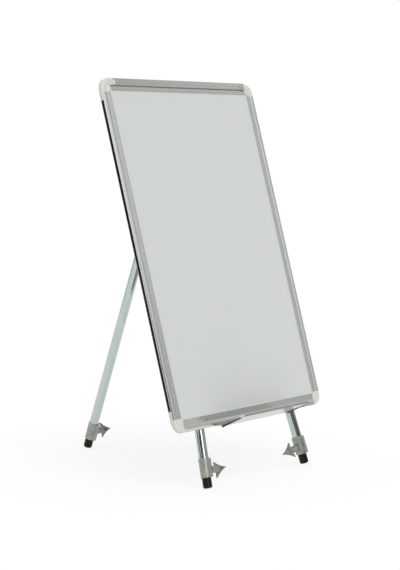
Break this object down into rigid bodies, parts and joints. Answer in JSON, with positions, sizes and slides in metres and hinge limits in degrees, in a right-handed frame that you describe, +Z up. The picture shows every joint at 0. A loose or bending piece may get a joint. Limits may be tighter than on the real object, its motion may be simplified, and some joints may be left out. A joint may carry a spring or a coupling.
{
  "type": "whiteboard on folding stand",
  "caption": "Portrait whiteboard with an aluminium frame, a sprung paper clamp and a marker tray, leaning back on a folding tripod stand of telescopic chrome tubes with clamp knobs.",
  "frame": {"origin": "on the floor under the middle of the stand's outline", "axes": "+X along the board to its right-hand side seen from the front, +Y from the writing side to the rear leg, +Z up"},
  "size_m": [0.7, 0.7318, 1.1257],
  "materials": {
    "writing_surface": "glossy white enamel for dry-wipe pens",
    "board_core": "raw fibreboard",
    "back_sheet": "plain galvanised grey",
    "frame_aluminium": "satin anodised, finely ribbed",
    "pale_plastic": "satin off-white, slightly translucent",
    "edge_strip": "smooth black",
    "tray_aluminium": "satin anodised",
    "dark_plastic": "fine grained",
    "grey_plastic": "fine grained mid grey",
    "tube_chrome": "bright chrome plate",
    "fastener_steel": "zinc plated",
    "insert_brass": "machined",
    "grip_rubber": "matt",
    "foot_rubber": "matt"
  },
  "bodies": {
    "stand": {"writing_sheet": "writing_surface", "board_core": "board_core", "back_sheet": "back_sheet", "rail_left": "frame_aluminium", "rail_right": "frame_aluminium", "rail_top": "frame_aluminium", "rail_bottom": "frame_aluminium", "corner_top_left": "pale_plastic", "corner_top_right": "pale_plastic", "corner_bottom_left": "pale_plastic", "corner_bottom_right": "pale_plastic", "edge_strip_left": "edge_strip", "edge_strip_right": "edge_strip", "edge_strips_bottom": "edge_strip", "corner_screws": "fastener_steel", "clamp_pins": "fastener_steel", "clamp_springs": "fastener_steel", "marker_tray": "tray_aluminium", "tray_end_left": "dark_plastic", "tray_end_right": "dark_plastic", "tray_corner_caps": "pale_plastic", "lower_saddles": "fastener_steel", "upper_saddles": "fastener_steel", "saddle_screws": "fastener_steel", "front_outer_tube_left": "tube_chrome", "front_outer_tube_right": "tube_chrome", "tube_caps": "dark_plastic", "cross_tube": "tube_chrome", "tee_left": "dark_plastic", "tee_right": "dark_plastic", "hinge_rings": "dark_plastic", "set_screws": "fastener_steel", "collar_front_left": "grey_plastic", "collar_front_right": "grey_plastic", "thread_inserts_front": "insert_brass"},
    "paper_clamp": {"clamp_bar": "frame_aluminium", "clamp_end_left": "pale_plastic", "clamp_end_right": "pale_plastic", "clamp_grip": "grip_rubber"},
    "rear_leg": {"hinge_head": "dark_plastic", "head_rivet": "fastener_steel", "rear_outer_tube": "tube_chrome", "collar_rear": "grey_plastic", "thread_insert_rear": "insert_brass"},
    "front_left_foot": {"inner_tube_front_left": "tube_chrome", "foot_front_left": "foot_rubber", "guide_front_left": "dark_plastic"},
    "front_right_foot": {"inner_tube_front_right": "tube_chrome", "foot_front_right": "foot_rubber", "guide_front_right": "dark_plastic"},
    "rear_foot": {"inner_tube_rear": "tube_chrome", "foot_rear": "foot_rubber", "guide_rear": "dark_plastic"},
    "front_left_knob": {"knob_front_left": "grey_plastic", "stud_front_left": "fastener_steel"},
    "front_right_knob": {"knob_front_right": "grey_plastic", "stud_front_right": "fastener_steel"},
    "rear_knob": {"knob_rear": "grey_plastic", "stud_rear": "fastener_steel"}
  },
  "joints": [
    {"name": "paper_clamp_hinge", "type": "hinge", "parent": "stand", "child": "paper_clamp", "pos_m": [0, 0.00694, 1.1188], "axis": [-1, 0, 0], "range_deg": [0, 32], "stiffness_Nm_per_rad": 0.5, "springref_deg": -34.38},
    {"name": "rear_leg_fold", "type": "hinge", "parent": "stand", "child": "rear_leg", "pos_m": [0, 0.00674, 1.03647], "axis": [-1, 0, 0], "range_deg": [0, 35]},
    {"name": "front_left_leg_slide", "type": "slide", "parent": "stand", "child": "front_left_foot", "axis": [-0.108, -0.2824, -0.9532], "range_m": [0, 0.7]},
    {"name": "front_right_leg_slide", "type": "slide", "parent": "stand", "child": "front_right_foot", "axis": [0.108, -0.2824, -0.9532], "range_m": [0, 0.7]},
    {"name": "rear_leg_slide", "type": "slide", "parent": "rear_leg", "child": "rear_foot", "axis": [0, 0.319, -0.9478], "range_m": [0, 0.7]},
    {"name": "front_left_knob_turn", "type": "hinge", "parent": "stand", "child": "front_left_knob", "pos_m": [-0.17005, -0.28704, 0.04467], "axis": [0.9942, -0.0307, -0.1036], "range_deg": [0, 270]},
    {"name": "front_right_knob_turn", "type": "hinge", "parent": "stand", "child": "front_right_knob", "pos_m": [0.17005, -0.28704, 0.04467], "axis": [-0.9942, -0.0307, -0.1036], "range_deg": [0, 270]},
    {"name": "rear_knob_turn", "type": "hinge", "parent": "rear_leg", "child": "rear_knob", "pos_m": [0.05875, 0.33851, 0.05063], "axis": [1, 0, 0], "range_deg": [0, 270]}
  ]
}
